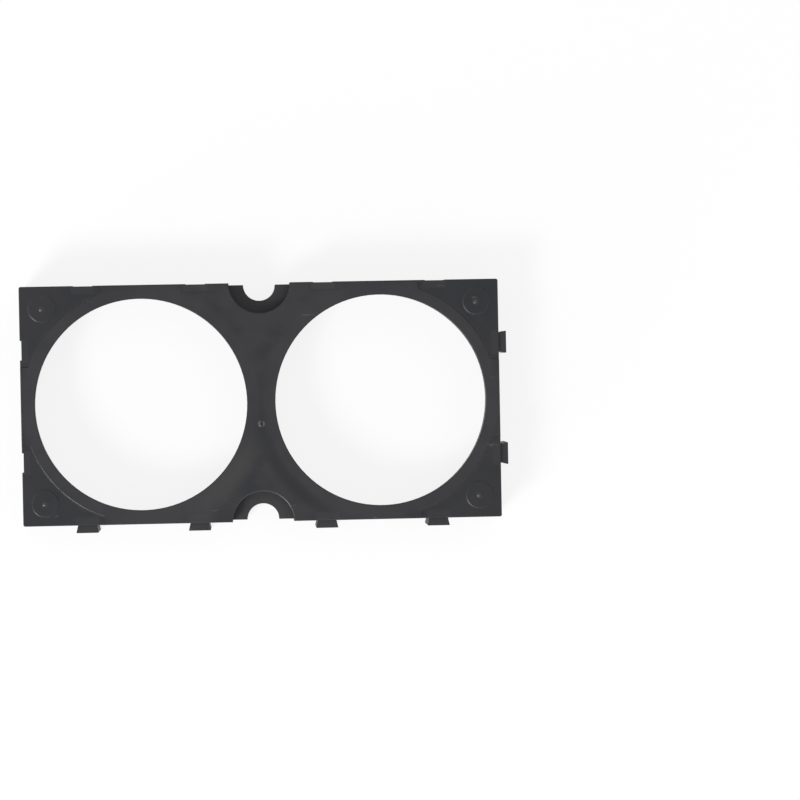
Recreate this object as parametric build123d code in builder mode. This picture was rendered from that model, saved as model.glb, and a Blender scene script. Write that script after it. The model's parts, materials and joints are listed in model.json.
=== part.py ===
"""Two-cell end bracket for 32 mm cylindrical battery cells, moulded in one piece.

The plate lies flat with the cell side down. The origin is on the cell side, half way between
the two cell axes. X runs from cell to cell, Y across the bracket and Z along the cells.
"""

import os
from math import atan, degrees

from build123d import *

# ---------- Driving sizes, mm ----------

# The cells, and the wall left between two neighbouring bores
cell_count = 2
cell_diameter = 32.2
cell_clearance = 0.5
web_wall = 3.3
mating_gap = 0.10
thickness = 8.5

# Cell seats: a bore takes the end of the cell, and a thin lip stops it
lip_overhang = 0.475
lip_thickness = 1.2
bore_lead_in = 0.5

# Dovetail tabs on two edges, and the slots that take the next bracket's tabs
tab_offset = 8.42
tab_tip_width = 3.36
tab_root_width = 2.78
tab_height = 1.17
tab_anchor = 0.4
tab_stop_gap = 0.1
slot_side_clearance = 0.05
slot_end_clearance = 0.20

# Each slot ends in a thin skin at the outer face, a little sunk and set back from the edge
slot_skin = 0.5
skin_sink = 0.06
skin_margin = 0.3
short_edge_setback = 0.25
long_edge_setback = 0.08

# Half-round screw notches between the cells, with a seat for the washer and the head
screw_hole_diameter = 4.8
washer_seat_diameter = 9.2
washer_seat_depth = 2.5
seat_edge_setback = 0.25

# Corner reliefs outside the round collars, with an ejector pad standing in each one
collar_wall = 1.35
relief_depth = 0.18
relief_overrun = 0.5
pad_radius = 2.05
pad_inset = 3.35
pad_nub_radius = 0.45
pad_nub_height = 0.22

# Gate witness on the web: a low sheared stub with a pit in it
gate_offset = 3.2
gate_stub_radius = 0.5
gate_stub_height = 0.16
gate_stub_break = 0.1
gate_pit_radius = 0.22
gate_pit_depth = 0.3

# Small edges
corner_radius = 0.3
edge_break = 0.15
step_break = 0.14
lip_break = 0.1
tab_tip_break = 0.08
size_tolerance = 0.01

# ---------- Worked-out sizes ----------

bore_radius = (cell_diameter + cell_clearance) / 2
lip_radius = bore_radius - lip_overhang
bore_depth = thickness - lip_thickness
collar_radius = bore_radius + collar_wall
cell_pitch = 2 * bore_radius + web_wall

plate_length = cell_count * cell_pitch - mating_gap
plate_width = cell_pitch - mating_gap
half_length = plate_length / 2
half_width = plate_width / 2
cell_x = [(i - (cell_count - 1) / 2) * cell_pitch for i in range(cell_count)]
web_x = [(a + b) / 2 for a, b in zip(cell_x, cell_x[1:])]

flank_slope = (tab_tip_width - tab_root_width) / 2 / tab_height
dovetail_angle = 90 - degrees(atan(flank_slope))
slot_depth = tab_height - mating_gap + slot_end_clearance
slot_mouth_width = tab_root_width + 2 * (mating_gap * flank_slope + slot_side_clearance)
slot_back_width = slot_mouth_width + 2 * slot_depth * flank_slope
skin_width = slot_back_width + 2 * skin_margin

relief_level = thickness - relief_depth
relief_start = tab_offset - skin_width / 2 - relief_overrun
slot_height = relief_level - slot_skin
tab_length = slot_height - tab_stop_gap

seat_radius = washer_seat_diameter / 2
pad_x = half_length - pad_inset
pad_y = half_width - pad_inset
corner_signs = [(sx, sy) for sx in (-1, 1) for sy in (-1, 1)]
pad_points = [(sx * pad_x, sy * pad_y) for sx, sy in corner_signs]

# Tabs stand on the -Y and +X edges, slots open on the +Y and -X edges, in the same pattern
beside_cells = [x + side for x in cell_x for side in (-tab_offset, tab_offset)]
along_bottom = [Location((x, -half_width)) for x in beside_cells]
along_right = [Location((half_length, side), 90) for side in (-tab_offset, tab_offset)]
along_top = [Location((x, half_width)) for x in beside_cells]
along_left = [Location((-half_length, side), 90) for side in (-tab_offset, tab_offset)]


def at_height(edges, height):
    """The edges that lie at this height."""
    return edges.filter_by_position(Axis.Z, height - size_tolerance, height + size_tolerance)


def with_radius(edges, radius):
    """The round edges of this radius."""
    return edges.filter_by(lambda edge: abs(edge.radius - radius) < size_tolerance)


def on_rim(edge):
    """True for a level edge of the plate's outline, at the outer face or on the cell side."""
    middle = edge.center()
    level = abs(edge.tangent_at(0.5).Z) < 0.5
    outside = abs(middle.X) > half_length - corner_radius or abs(middle.Y) > half_width - corner_radius
    return level and outside


# ---------- The bracket ----------

with BuildPart() as cell_bracket:
    # Plate with its four upright corners just off sharp
    with BuildSketch(Plane.XY):
        RectangleRounded(plate_length, plate_width, corner_radius)
    extrude(amount=thickness)

    # Corner reliefs: what lies outside the collar of the end cell, around the ejector pad
    with BuildSketch(Plane.XY.offset(thickness)):
        relief_span = pad_inset + cell_pitch
        for sx, sy in corner_signs:
            x_align = Align.MIN if sx > 0 else Align.MAX
            y_align = Align.MIN if sy > 0 else Align.MAX
            with Locations((sx * (cell_x[-1] + relief_start), sy * relief_start)):
                Rectangle(relief_span, relief_span, align=(x_align, y_align))
        with Locations((cell_x[0], 0), (cell_x[-1], 0)):
            Circle(collar_radius, mode=Mode.SUBTRACT)
        with Locations(*pad_points):
            Circle(pad_radius, mode=Mode.SUBTRACT)
    extrude(amount=-relief_depth, mode=Mode.SUBTRACT)

    # Sloped steps down from the collars and the pads, and broken edges round the outline
    face_arcs = at_height(cell_bracket.edges().filter_by(GeomType.CIRCLE), thickness)
    step_edges = face_arcs.filter_by(lambda edge: edge.radius > 2 * corner_radius)
    chamfer(step_edges, step_break)
    chamfer(cell_bracket.edges().filter_by(on_rim), edge_break)

    # Cell seats: lip opening right through, then the bore from the cell side
    with Locations(*[(x, 0, 0) for x in cell_x]):
        Hole(lip_radius)
    with BuildSketch(Plane.XY):
        with Locations(*[(x, 0) for x in cell_x]):
            Circle(bore_radius)
    extrude(amount=bore_depth, mode=Mode.SUBTRACT)

    # Screw notches, half in this bracket and half in the next one. The side wall under each
    # washer seat stands back a little, and the notch is centred on it.
    notch_y = half_width - seat_edge_setback
    with BuildSketch(Plane.XY):
        with Locations(*[(x, sy * notch_y) for x in web_x for sy in (-1, 1)]):
            Circle(screw_hole_diameter / 2)
        with Locations(*[(x, sy * half_width) for x in web_x for sy in (-1, 1)]):
            Rectangle(washer_seat_diameter, 2 * seat_edge_setback)
    extrude(amount=thickness, mode=Mode.SUBTRACT)
    with BuildSketch(Plane.XY.offset(thickness)):
        with Locations(*[(x, sy * cell_pitch / 2) for x in web_x for sy in (-1, 1)]):
            Circle(seat_radius)
    extrude(amount=-washer_seat_depth, mode=Mode.SUBTRACT)

    # Dovetail slots, open on the cell side
    with BuildSketch(Plane.XY):
        with Locations(*along_top, *along_left):
            Trapezoid(slot_back_width, slot_depth, dovetail_angle, align=(Align.CENTER, Align.MAX))
    extrude(amount=slot_height, mode=Mode.SUBTRACT)

    # The skin over each slot is sunk, and its edge is set back across the slot's mouth
    with BuildSketch(Plane.XY.offset(thickness)):
        with Locations(*along_top, *along_left):
            Rectangle(skin_width, slot_depth, align=(Align.CENTER, Align.MAX))
    extrude(amount=-skin_sink, mode=Mode.SUBTRACT)
    with BuildSketch(Plane.XY):
        with Locations(*along_top):
            Rectangle(slot_mouth_width, 2 * long_edge_setback)
        with Locations(*along_left):
            Rectangle(slot_mouth_width, 2 * short_edge_setback)
    extrude(amount=thickness, mode=Mode.SUBTRACT)

    # Dovetail tabs, short enough to stop under the skin of the next bracket's slots
    with BuildSketch(Plane.XY):
        with Locations(*along_bottom, *along_right):
            Trapezoid(tab_tip_width, tab_height, dovetail_angle, align=(Align.CENTER, Align.MAX))
            Rectangle(tab_root_width, tab_anchor, align=(Align.CENTER, Align.MIN))
    extrude(amount=tab_length)
    tab_tips = cell_bracket.faces().sort_by(Axis.Y)[: len(along_bottom)]
    tab_tips += cell_bracket.faces().sort_by(Axis.X)[-len(along_right) :]
    chamfer(tab_tips.edges(), tab_tip_break)

    # Lead-in at the mouth of each bore, and a broken edge round each lip and each washer seat
    round_edges = cell_bracket.edges().filter_by(GeomType.CIRCLE)
    cell_side_edges = at_height(round_edges, 0)
    outer_edges = at_height(round_edges, thickness)
    chamfer(with_radius(cell_side_edges, bore_radius), bore_lead_in)
    chamfer(with_radius(outer_edges, lip_radius), lip_break)
    chamfer(with_radius(outer_edges, seat_radius), edge_break)

    # Low dome in the middle of each ejector pad
    dome_radius = (pad_nub_radius**2 + pad_nub_height**2) / (2 * pad_nub_height)
    with Locations(*[(x, y, thickness + pad_nub_height - dome_radius) for x, y in pad_points]):
        Sphere(dome_radius)

    # Gate witness on each web
    gate_points = [(x, -gate_offset) for x in web_x]
    with BuildSketch(Plane.XY.offset(thickness)):
        with Locations(*gate_points):
            Circle(gate_stub_radius)
    extrude(amount=gate_stub_height)
    stub_tops = at_height(cell_bracket.edges().filter_by(GeomType.CIRCLE), thickness + gate_stub_height)
    chamfer(with_radius(stub_tops, gate_stub_radius), gate_stub_break)
    with BuildSketch(Plane.XY.offset(thickness + gate_stub_height)):
        with Locations(*gate_points):
            Circle(gate_pit_radius)
    extrude(amount=-gate_pit_depth, mode=Mode.SUBTRACT)

cell_bracket.part.label = "cell_bracket"

os.makedirs("parts", exist_ok=True)
export_step(cell_bracket.part, "parts/cell_bracket.step")
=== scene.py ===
import json
import math
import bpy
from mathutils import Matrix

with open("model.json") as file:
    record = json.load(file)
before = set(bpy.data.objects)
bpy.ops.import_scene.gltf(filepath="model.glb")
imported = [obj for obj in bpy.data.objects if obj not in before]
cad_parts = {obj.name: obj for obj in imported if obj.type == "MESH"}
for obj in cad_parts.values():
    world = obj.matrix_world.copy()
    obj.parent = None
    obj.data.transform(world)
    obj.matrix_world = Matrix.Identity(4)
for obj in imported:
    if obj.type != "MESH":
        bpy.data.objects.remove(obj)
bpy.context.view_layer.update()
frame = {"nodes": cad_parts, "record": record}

from types import SimpleNamespace

import bpy
from mathutils import Matrix, Vector

# ---------- Places taken from the frame, metres ----------

mounts = {mount["name"]: mount for mount in frame["record"]["mounts"]}
left_cell = Vector(mounts["left_cell_bore"]["pos_m"])
right_cell = Vector(mounts["right_cell_bore"]["pos_m"])
screw_seat = Vector(mounts["screw_notch_tab_side"]["pos_m"])
half_length = abs(mounts["slots_short_edge"]["pos_m"][0])
half_width = abs(mounts["slots_long_edge"]["pos_m"][1])

# ---------- Small forms of the outer face, metres, as the part has them ----------

seat_depth = 0.0025
seat_reach = 0.0046
collar_reach = 0.0177
relief_start = 0.0059
pad_inset = 0.00335
pad_reach = 0.00205
dome_reach = 0.00045
step_width = 0.00014
dovetail_offset = 0.00842
gate_offset = 0.0032
gate_reach = 0.0005

face_height = screw_seat.z + seat_depth
screw_seat_axis = Vector((0.0, -right_cell.x, 0.0))
corner_pad = Vector((half_length - pad_inset, half_width - pad_inset, 0.0))
gate_place = Vector((0.0, -gate_offset, 0.0))

# ---------- Marks on the skin: where they lie and how softly they end, metres ----------

mark_edge = 0.00006
collar_edge_inside, collar_edge_outside = 0.0006, 0.0008
relief_edge = 0.0002
dome_edge = 0.0001
gate_edge = 0.0001
seat_light_edge = 0.0002
sheared_start, sheared_full = 0.00012, 0.00024
patch_depth, patch_half = 0.00115, 0.00175
patch_edge_outside, patch_edge_inside = 0.0001, 0.0003
band_full_below, band_starts_below = -0.0095, -0.0035
band_near_web, band_end = 0.0060, 0.0125
shade_band_reach, shade_band_core, shade_band_half = 0.0184, 0.0002, 0.0016
sheen_band_reach, sheen_band_core, sheen_band_half = 0.0175, 0.0004, 0.0026
polish_left, polish_right = 0.004, 0.024
grain_depth = 0.00003

# ---------- Colours of the skin in linear red, green and blue, and how strongly they lie; some are painted shade, sheen and highlights ---

dark_melt = (0.0035, 0.0042, 0.0072)
light_melt = (0.0135, 0.0130, 0.0155)
blotch_strength = 0.6
collar_sheen_tone, collar_sheen_strength = (0.0190, 0.0185, 0.0205), 0.45
shade_band_tone, shade_band_strength = (0.0012, 0.0012, 0.0020), 0.85
sheen_band_tone, sheen_band_strength = (0.0290, 0.0285, 0.0290), 0.65
corner_shade_tone, corner_shade_strength = (0.0015, 0.0025, 0.0045), 0.5
patch_tone, patch_strength = (0.0290, 0.0285, 0.0300), 0.24
rubbed_tone, rubbed_strength = (0.0400, 0.0395, 0.0405), 0.6
sheared_tone, sheared_strength = (0.0950, 0.0950, 0.1000), 0.75
seat_light_tone, seat_light_strength = (0.0330, 0.0325, 0.0345), 0.5
scuff_tone, scuff_strength = (0.0500, 0.0500, 0.0520), 0.8

# ---------- Gloss of the skin ----------

smoother_satin, rougher_satin = 0.46, 0.56
polish_on_the_left, polish_on_the_right = 0.20, 0.07

# ---------- Helpers for node materials ----------


def add_node(material, kind, **settings):
    node = material.node_tree.nodes.new(kind)
    for name, value in settings.items():
        setattr(node, name, value)
    return node


def join(material, source, target):
    material.node_tree.links.new(source, target)


def noise(material, place, scale, detail=2.0, roughness=0.5):
    node = add_node(material, "ShaderNodeTexNoise")
    node.inputs["Scale"].default_value = scale
    node.inputs["Detail"].default_value = detail
    node.inputs["Roughness"].default_value = roughness
    join(material, place, node.inputs["Vector"])
    return node.outputs["Fac"]


def remap(material, value, low, high, to_low, to_high):
    node = add_node(material, "ShaderNodeMapRange", interpolation_type="SMOOTHSTEP")
    node.inputs["From Min"].default_value = low
    node.inputs["From Max"].default_value = high
    node.inputs["To Min"].default_value = to_low
    node.inputs["To Max"].default_value = to_high
    join(material, value, node.inputs["Value"])
    return node.outputs["Result"]


def rise(material, value, start, full, strength=1.0):
    """Nothing up to the start, and the whole strength past the full value."""
    return remap(material, value, start, full, 0.0, strength)


def fade(material, value, full, end, strength=1.0):
    """The whole strength up to the full value, and nothing past the end."""
    return remap(material, value, full, end, strength, 0.0)


def calculate(material, operation, first, second=0.0):
    node = add_node(material, "ShaderNodeMath", operation=operation)
    for socket, value in zip(node.inputs, (first, second)):
        if isinstance(value, float):
            socket.default_value = value
        else:
            join(material, value, socket)
    return node.outputs[0]


def multiply(material, first, second):
    return calculate(material, "MULTIPLY", first, second)


def off_by(material, value, middle):
    """How far a value lies from a middle one, on either side."""
    return calculate(material, "ABSOLUTE", calculate(material, "SUBTRACT", value, middle))


def lay_over(material, skin, tone, share):
    """Lay a tone over the skin; the mix node has its colours in sockets 6 and 7 and out of 2."""
    node = add_node(material, "ShaderNodeMix", data_type="RGBA")
    join(material, share, node.inputs["Factor"])
    for socket, colour in ((node.inputs[6], skin), (node.inputs[7], tone)):
        if isinstance(colour, tuple):
            socket.default_value = (*colour, 1.0)
        else:
            join(material, colour, socket)
    return node.outputs[2]


def ring(material, reach, inner, outer):
    """One between two distances, with a short soft edge on both sides."""
    inside = rise(material, reach, inner - mark_edge, inner)
    outside = fade(material, reach, outer, outer + mark_edge)
    return multiply(material, inside, outside)


def distance_to(material, place, centre):
    """Distance in the plane of the plate from one point of the bracket."""
    shift = add_node(material, "ShaderNodeVectorMath", operation="SUBTRACT")
    shift.inputs[1].default_value = centre
    join(material, place, shift.inputs[0])
    flatten = add_node(material, "ShaderNodeVectorMath", operation="MULTIPLY")
    flatten.inputs[1].default_value = (1.0, 1.0, 0.0)
    join(material, shift.outputs[0], flatten.inputs[0])
    reach = add_node(material, "ShaderNodeVectorMath", operation="LENGTH")
    join(material, flatten.outputs[0], reach.inputs[0])
    return reach.outputs["Value"]


# ---------- Moulded black plastic ----------


def face_zones(material, place):
    """Find the places on the bracket that its tones and its gloss go by."""
    zone = SimpleNamespace()
    parts = add_node(material, "ShaderNodeSeparateXYZ")
    join(material, place, parts.inputs["Vector"])
    zone.across_x, zone.across_y = parts.outputs["X"], parts.outputs["Y"]
    zone.out_x = calculate(material, "ABSOLUTE", zone.across_x)
    zone.out_y = calculate(material, "ABSOLUTE", zone.across_y)

    zone.from_left = distance_to(material, place, left_cell)
    zone.from_right = distance_to(material, place, right_cell)
    from_cell = calculate(material, "MINIMUM", zone.from_left, zone.from_right)
    zone.on_collar = fade(material, from_cell, collar_reach - collar_edge_inside,
                          collar_reach + collar_edge_outside)
    corner_x = right_cell.x + relief_start
    beyond_x = rise(material, zone.out_x, corner_x - relief_edge, corner_x)
    beyond_y = rise(material, zone.out_y, relief_start - relief_edge, relief_start)
    zone.in_corner = multiply(material, beyond_x, beyond_y)
    zone.from_seat = distance_to(material, place, screw_seat_axis)
    from_gate = distance_to(material, place, gate_place)
    zone.gate_stub = fade(material, from_gate, gate_reach, gate_reach + gate_edge)

    # The four corner pads lie alike, so one quarter of the face finds them all
    quarter = add_node(material, "ShaderNodeVectorMath", operation="ABSOLUTE")
    join(material, place, quarter.inputs[0])
    from_pad = distance_to(material, quarter.outputs[0], corner_pad)

    # The small raised edges: collar steps, pads, domes, seat and gate. Handling has rubbed them
    # smooth, and they carry a painted highlight
    collar_step = ring(material, from_cell, collar_reach - step_width, collar_reach)
    zone.rubbed = multiply(material, zone.in_corner, collar_step)
    pad_step = ring(material, from_pad, pad_reach - step_width, pad_reach)
    dome = fade(material, from_pad, dome_reach, dome_reach + dome_edge)
    seat_rim = ring(material, zone.from_seat, seat_reach, seat_reach + step_width)
    for raised_edge in (pad_step, dome, seat_rim, zone.gate_stub):
        zone.rubbed = calculate(material, "MAXIMUM", zone.rubbed, raised_edge)
    return zone


def melt_and_painted_tones(material, place, zone):
    """Tones that came with the moulding, and painted shade and sheen that follow the shape of the
    face.
    """
    # Broad clouds and small blotches where the melt cooled at different speeds
    clouds = noise(material, place, scale=85.0)
    blotches = noise(material, place, scale=330.0, detail=3.0, roughness=0.6)
    blotches = multiply(material, blotches, blotch_strength)
    uneven = rise(material, calculate(material, "ADD", clouds, blotches), 0.62, 0.98)
    skin = lay_over(material, dark_melt, light_melt, uneven)

    # Painted sheen: the collars round the cells are painted a little paler than the corners
    painted_collar_sheen = multiply(material, zone.on_collar, collar_sheen_strength)
    skin = lay_over(material, skin, collar_sheen_tone, painted_collar_sheen)

    # Painted shade in a band below the gate round the right cell, and a painted sheen in a band
    # round the left
    below_gate = fade(material, zone.across_y, band_full_below, band_starts_below)
    by_the_web = fade(material, zone.out_x, band_near_web, band_end)
    band_area = multiply(material, below_gate, by_the_web)
    off_shade_band = off_by(material, zone.from_right, shade_band_reach)
    painted_shade_band = fade(material, off_shade_band, shade_band_core, shade_band_half, shade_band_strength)
    skin = lay_over(material, skin, shade_band_tone, multiply(material, band_area, painted_shade_band))
    off_sheen_band = off_by(material, zone.from_left, sheen_band_reach)
    painted_sheen_band = fade(material, off_sheen_band, sheen_band_core, sheen_band_half, sheen_band_strength)
    skin = lay_over(material, skin, sheen_band_tone, multiply(material, band_area, painted_sheen_band))

    # Painted shade: the sunk corners are painted darker than the rest of the face
    off_collar = calculate(material, "SUBTRACT", 1.0, zone.on_collar)
    painted_corner_shade = multiply(material, zone.in_corner, off_collar)
    painted_corner_shade = multiply(material, painted_corner_shade, corner_shade_strength)
    skin = lay_over(material, skin, corner_shade_tone, painted_corner_shade)

    # Paler patches just inside the edges at the dovetails
    from_short_edge = calculate(material, "SUBTRACT", half_length, zone.out_x)
    from_long_edge = calculate(material, "SUBTRACT", half_width, zone.out_y)
    beside_cell = off_by(material, zone.out_x, right_cell.x)
    for from_edge, along_edge in ((from_short_edge, zone.out_y), (from_long_edge, beside_cell)):
        near_edge = fade(material, from_edge, patch_depth - patch_edge_outside,
                         patch_depth + patch_edge_inside)
        at_dovetail = ring(material, along_edge, dovetail_offset - patch_half,
                           dovetail_offset + patch_half)
        patch = multiply(material, near_edge, at_dovetail)
        patch = multiply(material, patch, patch_strength)
        skin = lay_over(material, skin, patch_tone, patch)
    return skin


def wear_and_painted_tones(material, place, zone, skin):
    """Tones that came later, with trimming and handling, and painted light on the raised edges and
    in the lower screw seat.
    """
    # Painted highlight: the small raised edges are painted paler
    rubbed = multiply(material, zone.rubbed, rubbed_strength)
    skin = lay_over(material, skin, rubbed_tone, rubbed)

    # The gate was sheared off, and its two sides turned white
    sheared_sides = rise(material, zone.out_x, sheared_start, sheared_full, sheared_strength)
    sheared = multiply(material, zone.gate_stub, sheared_sides)
    skin = lay_over(material, skin, sheared_tone, sheared)

    # Painted light: the floor of the lower screw seat, open towards the low lamps, is painted paler
    painted_seat_light = fade(material, zone.from_seat, seat_reach - seat_light_edge, seat_reach,
                        seat_light_strength)
    skin = lay_over(material, skin, seat_light_tone, painted_seat_light)

    # Pale scuffs, few and short
    stretched = add_node(material, "ShaderNodeMapping")
    stretched.inputs["Rotation"].default_value = (0.0, 0.0, 0.35)
    stretched.inputs["Scale"].default_value = (1.0, 3.0, 1.0)
    join(material, place, stretched.inputs["Vector"])
    scuff_lines = noise(material, stretched.outputs["Vector"], scale=300.0)
    scuffs = rise(material, scuff_lines, 0.71, 0.78, scuff_strength)
    return lay_over(material, skin, scuff_tone, scuffs)


def moulded_plastic():
    material = bpy.data.materials.new("moulded_black_abs")
    material.use_nodes = True
    shader = material.node_tree.nodes["Principled BSDF"]
    place = add_node(material, "ShaderNodeTexCoord").outputs["Object"]
    zone = face_zones(material, place)
    skin = melt_and_painted_tones(material, place, zone)
    skin = wear_and_painted_tones(material, place, zone, skin)
    join(material, skin, shader.inputs["Base Color"])

    # Satin skin: the roughness drifts in broad clouds and drops on the rubbed edges
    drift = noise(material, place, scale=160.0)
    satin = remap(material, drift, 0.3, 0.7, smoother_satin, rougher_satin)
    less_to_the_right = remap(material, zone.across_x, polish_left, polish_right,
                              polish_on_the_left, polish_on_the_right)
    polish = multiply(material, zone.rubbed, less_to_the_right)
    satin = calculate(material, "SUBTRACT", satin, polish)
    join(material, satin, shader.inputs["Roughness"])
    shader.inputs["IOR"].default_value = 1.50
    shader.inputs["Specular IOR Level"].default_value = 0.36

    # Spark-eroded mould grain
    grain = noise(material, place, scale=3200.0, detail=3.0, roughness=0.6)
    bump = add_node(material, "ShaderNodeBump")
    bump.inputs["Strength"].default_value = 0.25
    bump.inputs["Distance"].default_value = grain_depth
    join(material, grain, bump.inputs["Height"])
    join(material, bump.outputs["Normal"], shader.inputs["Normal"])
    return material


bracket = frame["nodes"]["cell_bracket"]
plastic = moulded_plastic()
for slot in bracket.material_slots:
    slot.material = plastic

# ---------- Floor ----------

table_colour = (0.94, 0.94, 0.94, 1.0)
table_size = 6.0
glow_share = 0.85


def seen_rays(material):
    """One for rays that show the background itself, nought for rays that light the bracket."""
    rays = add_node(material, "ShaderNodeLightPath").outputs
    seen = calculate(material, "MAXIMUM", rays["Is Camera Ray"], rays["Is Glossy Ray"])
    return calculate(material, "MAXIMUM", seen, rays["Is Transmission Ray"])


def white_table():
    """Mostly white where it is seen, with enough of its own surface to keep the shadow."""
    material = bpy.data.materials.new("white_table")
    material.use_nodes = True
    tree = material.node_tree
    shader = tree.nodes["Principled BSDF"]
    shader.inputs["Base Color"].default_value = table_colour
    shader.inputs["Roughness"].default_value = 0.9
    glow = add_node(material, "ShaderNodeEmission")
    glow.inputs["Strength"].default_value = 1.0
    mix = add_node(material, "ShaderNodeMixShader")
    join(material, multiply(material, seen_rays(material), glow_share), mix.inputs["Fac"])
    join(material, shader.outputs["BSDF"], mix.inputs[1])
    join(material, glow.outputs["Emission"], mix.inputs[2])
    join(material, mix.outputs["Shader"], tree.nodes["Material Output"].inputs["Surface"])
    return material


bpy.ops.mesh.primitive_plane_add(size=table_size, location=(0.0, 0.0, 0.0))
floor = bpy.context.object
floor.name = "floor"
floor.data.materials.append(white_table())

# ---------- World and lamps ----------

world_on_bracket = 0.45
world_seen = 1.0

world = bpy.data.worlds.new("studio")
bpy.context.scene.world = world
world.use_nodes = True
backdrop = world.node_tree.nodes["Background"]
backdrop.inputs["Color"].default_value = (1.0, 1.0, 1.0, 1.0)
world_strength = remap(world, seen_rays(world), 0.0, 1.0, world_on_bracket, world_seen)
join(world, world_strength, backdrop.inputs["Strength"])


def soft_lamp(name, direction, distance, width, height, power):
    """A rectangular lamp that stands off in one direction and faces the bracket."""
    data = bpy.data.lights.new(name, "AREA")
    data.shape = "RECTANGLE"
    data.size = width
    data.size_y = height
    data.energy = power
    lamp = bpy.data.objects.new(name, data)
    bpy.context.collection.objects.link(lamp)
    lamp.location = Vector(direction).normalized() * distance
    lamp.rotation_euler = (-lamp.location).to_track_quat("-Z", "Y").to_euler()


# A low strip catches the sloped steps, a small lamp the domes, and a broad one fills the rest
soft_lamp("low_strip_lamp", direction=(-0.75, -0.75, 0.17), distance=1.2,
          width=0.60, height=0.25, power=7.5)
soft_lamp("key_lamp", direction=(-0.75, -0.75, 0.95), distance=1.2,
          width=0.35, height=0.35, power=10.5)
soft_lamp("overhead_lamp", direction=(0.5, 0.6, 1.3), distance=1.6,
          width=1.6, height=1.6, power=4.0)

# ---------- Camera ----------

# The camera stands nearly over the middle of the bracket and looks a little to its right
stand_height = 0.45
look_at = Vector((0.02086, -0.00007, face_height))
stand_at = Vector((-0.00246, 0.00597, face_height + stand_height))
view_width = 0.12027
turn = math.radians(1.093)
sensor_width = 36.0

backwards = (stand_at - look_at).normalized()
upwards = Vector((math.sin(turn), math.cos(turn), 0.0))
sideways = upwards.cross(backwards).normalized()
upwards = backwards.cross(sideways)

camera_data = bpy.data.cameras.new("camera")
camera_data.sensor_width = sensor_width
camera_data.lens = sensor_width * stand_height / view_width
camera = bpy.data.objects.new("camera", camera_data)
bpy.context.collection.objects.link(camera)
camera.location = stand_at
camera.rotation_euler = Matrix((sideways, upwards, backwards)).transposed().to_euler()
bpy.context.scene.camera = camera

bpy.context.scene.view_settings.view_transform = "Standard"
